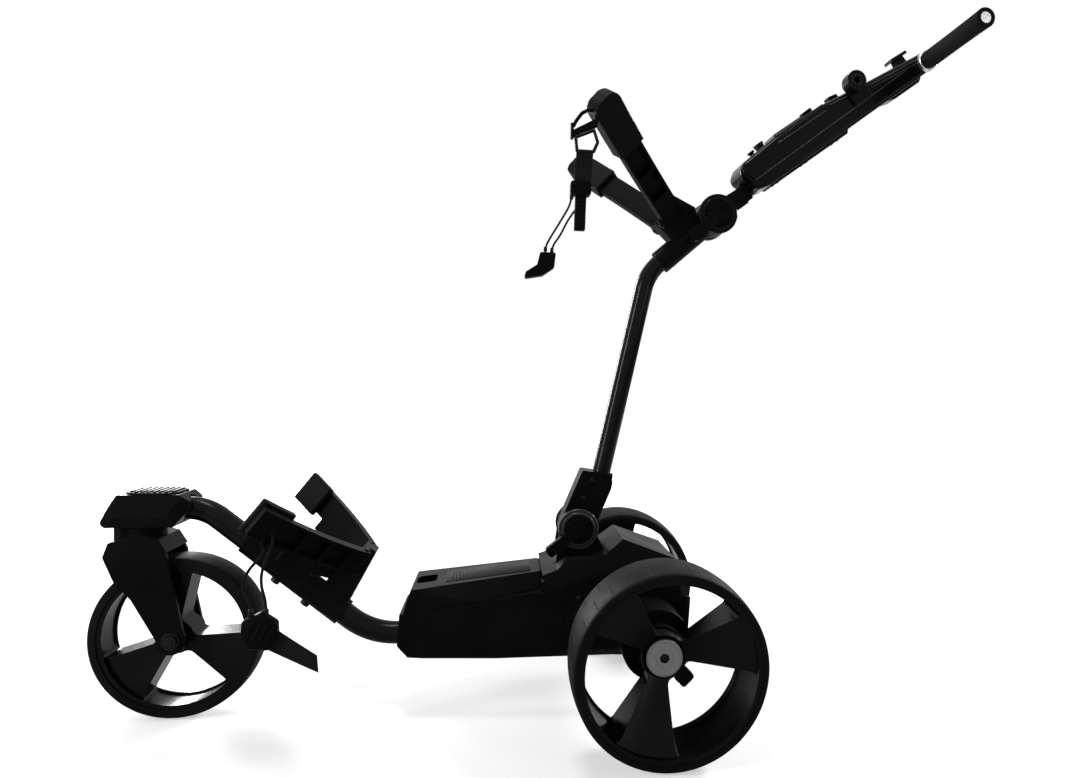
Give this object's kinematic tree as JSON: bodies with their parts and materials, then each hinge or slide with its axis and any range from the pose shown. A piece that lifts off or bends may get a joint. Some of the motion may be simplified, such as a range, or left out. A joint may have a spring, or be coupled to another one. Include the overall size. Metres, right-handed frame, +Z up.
{
  "type": "electric golf trolley",
  "caption": "Folding electric golf trolley with battery chassis, driven rear wheels, swivelling front wheel, bag cradles, mast and handle with a control console.",
  "frame": {"origin": "on the ground under the middle of the outline", "axes": "+X towards the handle, -X towards the front wheel, +Y towards the trolley's right side, +Z up"},
  "size_m": [1.2672, 0.55, 1.0581],
  "materials": {
    "shell": "fine-grained black moulded plastic",
    "pad": "soft black rubber",
    "tube": "satin black powder coat",
    "tread": "matt black tyre",
    "rim": "satin black plastic",
    "foam": "matt black foam",
    "silver": "satin silver",
    "steel": "turned steel",
    "dark_steel": "black oxide",
    "webbing": "woven black webbing",
    "elastic": "braided black elastic",
    "screen": "glossy dark display",
    "battery": "dark grey plastic",
    "board": "green circuit board"
  },
  "bodies": {
    "chassis": {"lower_housing": "shell", "rear_cover": "shell", "battery_pack": "battery", "gear_motors": "steel", "control_board": "board", "axle_housings": "shell", "chassis_bearings": "steel", "main_tube": "tube", "head_casing": "shell", "head_top_pad": "pad", "rest_bracket": "shell", "rest_fasteners": "dark_steel", "chassis_pins": "dark_steel"},
    "battery_lid": {"battery_lid": "shell"},
    "lower_clamp_lever": {"lower_clamp_lever": "shell"},
    "rear_wheel_left": {"rear_tyre_left": "tread", "rear_rim_left": "rim", "hub_disc_left": "silver", "drive_axle_left": "steel"},
    "rear_wheel_right": {"rear_tyre_right": "tread", "rear_rim_right": "rim", "hub_disc_right": "silver", "drive_axle_right": "steel"},
    "wheel_release_left": {"wheel_release_left": "shell"},
    "wheel_release_right": {"wheel_release_right": "shell"},
    "caster": {"fork": "shell", "caster_pins": "dark_steel"},
    "front_wheel": {"front_tyre": "tread", "front_rim": "rim", "front_bearings": "steel"},
    "lower_arm_left": {"lower_arm_left": "shell", "lower_pad_left": "pad", "lower_cord": "elastic", "lower_buckle": "shell"},
    "lower_arm_right": {"lower_arm_right": "shell", "lower_pad_right": "pad"},
    "mast": {"mast_socket": "shell", "mast_tube": "tube", "mast_top_joint": "shell", "mast_pins": "dark_steel", "upper_arm_left": "shell", "upper_arm_right": "shell", "upper_pad_left": "pad", "upper_pad_right": "pad", "strap_bracket": "shell", "strap_webbing": "webbing", "strap_pull": "shell", "strap_cord": "elastic", "strap_hook": "shell"},
    "upper_clamp_lever": {"upper_clamp_lever": "shell"},
    "handle": {"handle_base": "shell", "handle_tube": "tube", "console_lower": "shell", "console_upper": "shell", "display": "screen", "accessory_barrel": "shell", "grips": "foam", "tbar_trim": "silver"},
    "power_button": {"power_button": "shell"},
    "speed_dial": {"speed_dial": "shell"}
  },
  "joints": [
    {"name": "rear_wheel_left_spin", "type": "hinge", "parent": "chassis", "child": "rear_wheel_left", "pos_m": [0.16637, -0.225, 0.13], "axis": [0, 1, 0], "continuous": true},
    {"name": "rear_wheel_right_spin", "type": "hinge", "parent": "chassis", "child": "rear_wheel_right", "pos_m": [0.16637, 0.225, 0.13], "axis": [0, 1, 0], "continuous": true},
    {"name": "wheel_release_left_pull", "type": "slide", "parent": "rear_wheel_left", "child": "wheel_release_left", "axis": [0.7071, 0, -0.7071], "range_m": [0, 0.005], "stiffness_N_per_m": 400},
    {"name": "wheel_release_right_pull", "type": "slide", "parent": "rear_wheel_right", "child": "wheel_release_right", "axis": [0.7071, 0, -0.7071], "range_m": [0, 0.005], "stiffness_N_per_m": 400},
    {"name": "caster_swivel", "type": "hinge", "parent": "chassis", "child": "caster", "pos_m": [-0.56363, 0, 0.3], "axis": [0, 0, 1], "continuous": true},
    {"name": "front_wheel_spin", "type": "hinge", "parent": "caster", "child": "front_wheel", "pos_m": [-0.51563, 0, 0.118], "axis": [0, 1, 0], "continuous": true},
    {"name": "mast_fold", "type": "hinge", "parent": "chassis", "child": "mast", "pos_m": [0.06437, 0, 0.272], "axis": [0, -1, 0], "range_deg": [0, 80]},
    {"name": "handle_fold", "type": "hinge", "parent": "mast", "child": "handle", "pos_m": [0.27537, 0, 0.766], "axis": [0, 1, 0], "range_deg": [0, 110]},
    {"name": "lower_clamp_lever_turn", "type": "hinge", "parent": "chassis", "child": "lower_clamp_lever", "pos_m": [0.06437, -0.041, 0.272], "axis": [0, 1, 0], "range_deg": [0, 50]},
    {"name": "upper_clamp_lever_turn", "type": "hinge", "parent": "mast", "child": "upper_clamp_lever", "pos_m": [0.27537, -0.041, 0.766], "axis": [0, 1, 0], "range_deg": [0, 40]},
    {"name": "battery_lid_open", "type": "hinge", "parent": "chassis", "child": "battery_lid", "pos_m": [0.00637, 0, 0.207], "axis": [0, 1, 0], "range_deg": [0, 40]},
    {"name": "lower_arm_left_fold", "type": "hinge", "parent": "chassis", "child": "lower_arm_left", "pos_m": [-0.26163, -0.026, 0.226], "axis": [-0.6157, 0, -0.788], "range_deg": [0, 12]},
    {"name": "lower_arm_right_fold", "type": "hinge", "parent": "chassis", "child": "lower_arm_right", "pos_m": [-0.26163, 0.026, 0.226], "axis": [0.6157, 0, 0.788], "range_deg": [0, 12]},
    {"name": "power_button_press", "type": "slide", "parent": "handle", "child": "power_button", "axis": [0.6101, 0, -0.7923], "range_m": [0, 0.002], "stiffness_N_per_m": 300},
    {"name": "speed_dial_turn", "type": "hinge", "parent": "handle", "child": "speed_dial", "pos_m": [0.43262, 0, 0.94205], "axis": [-0.6101, 0, 0.7923], "continuous": true}
  ]
}
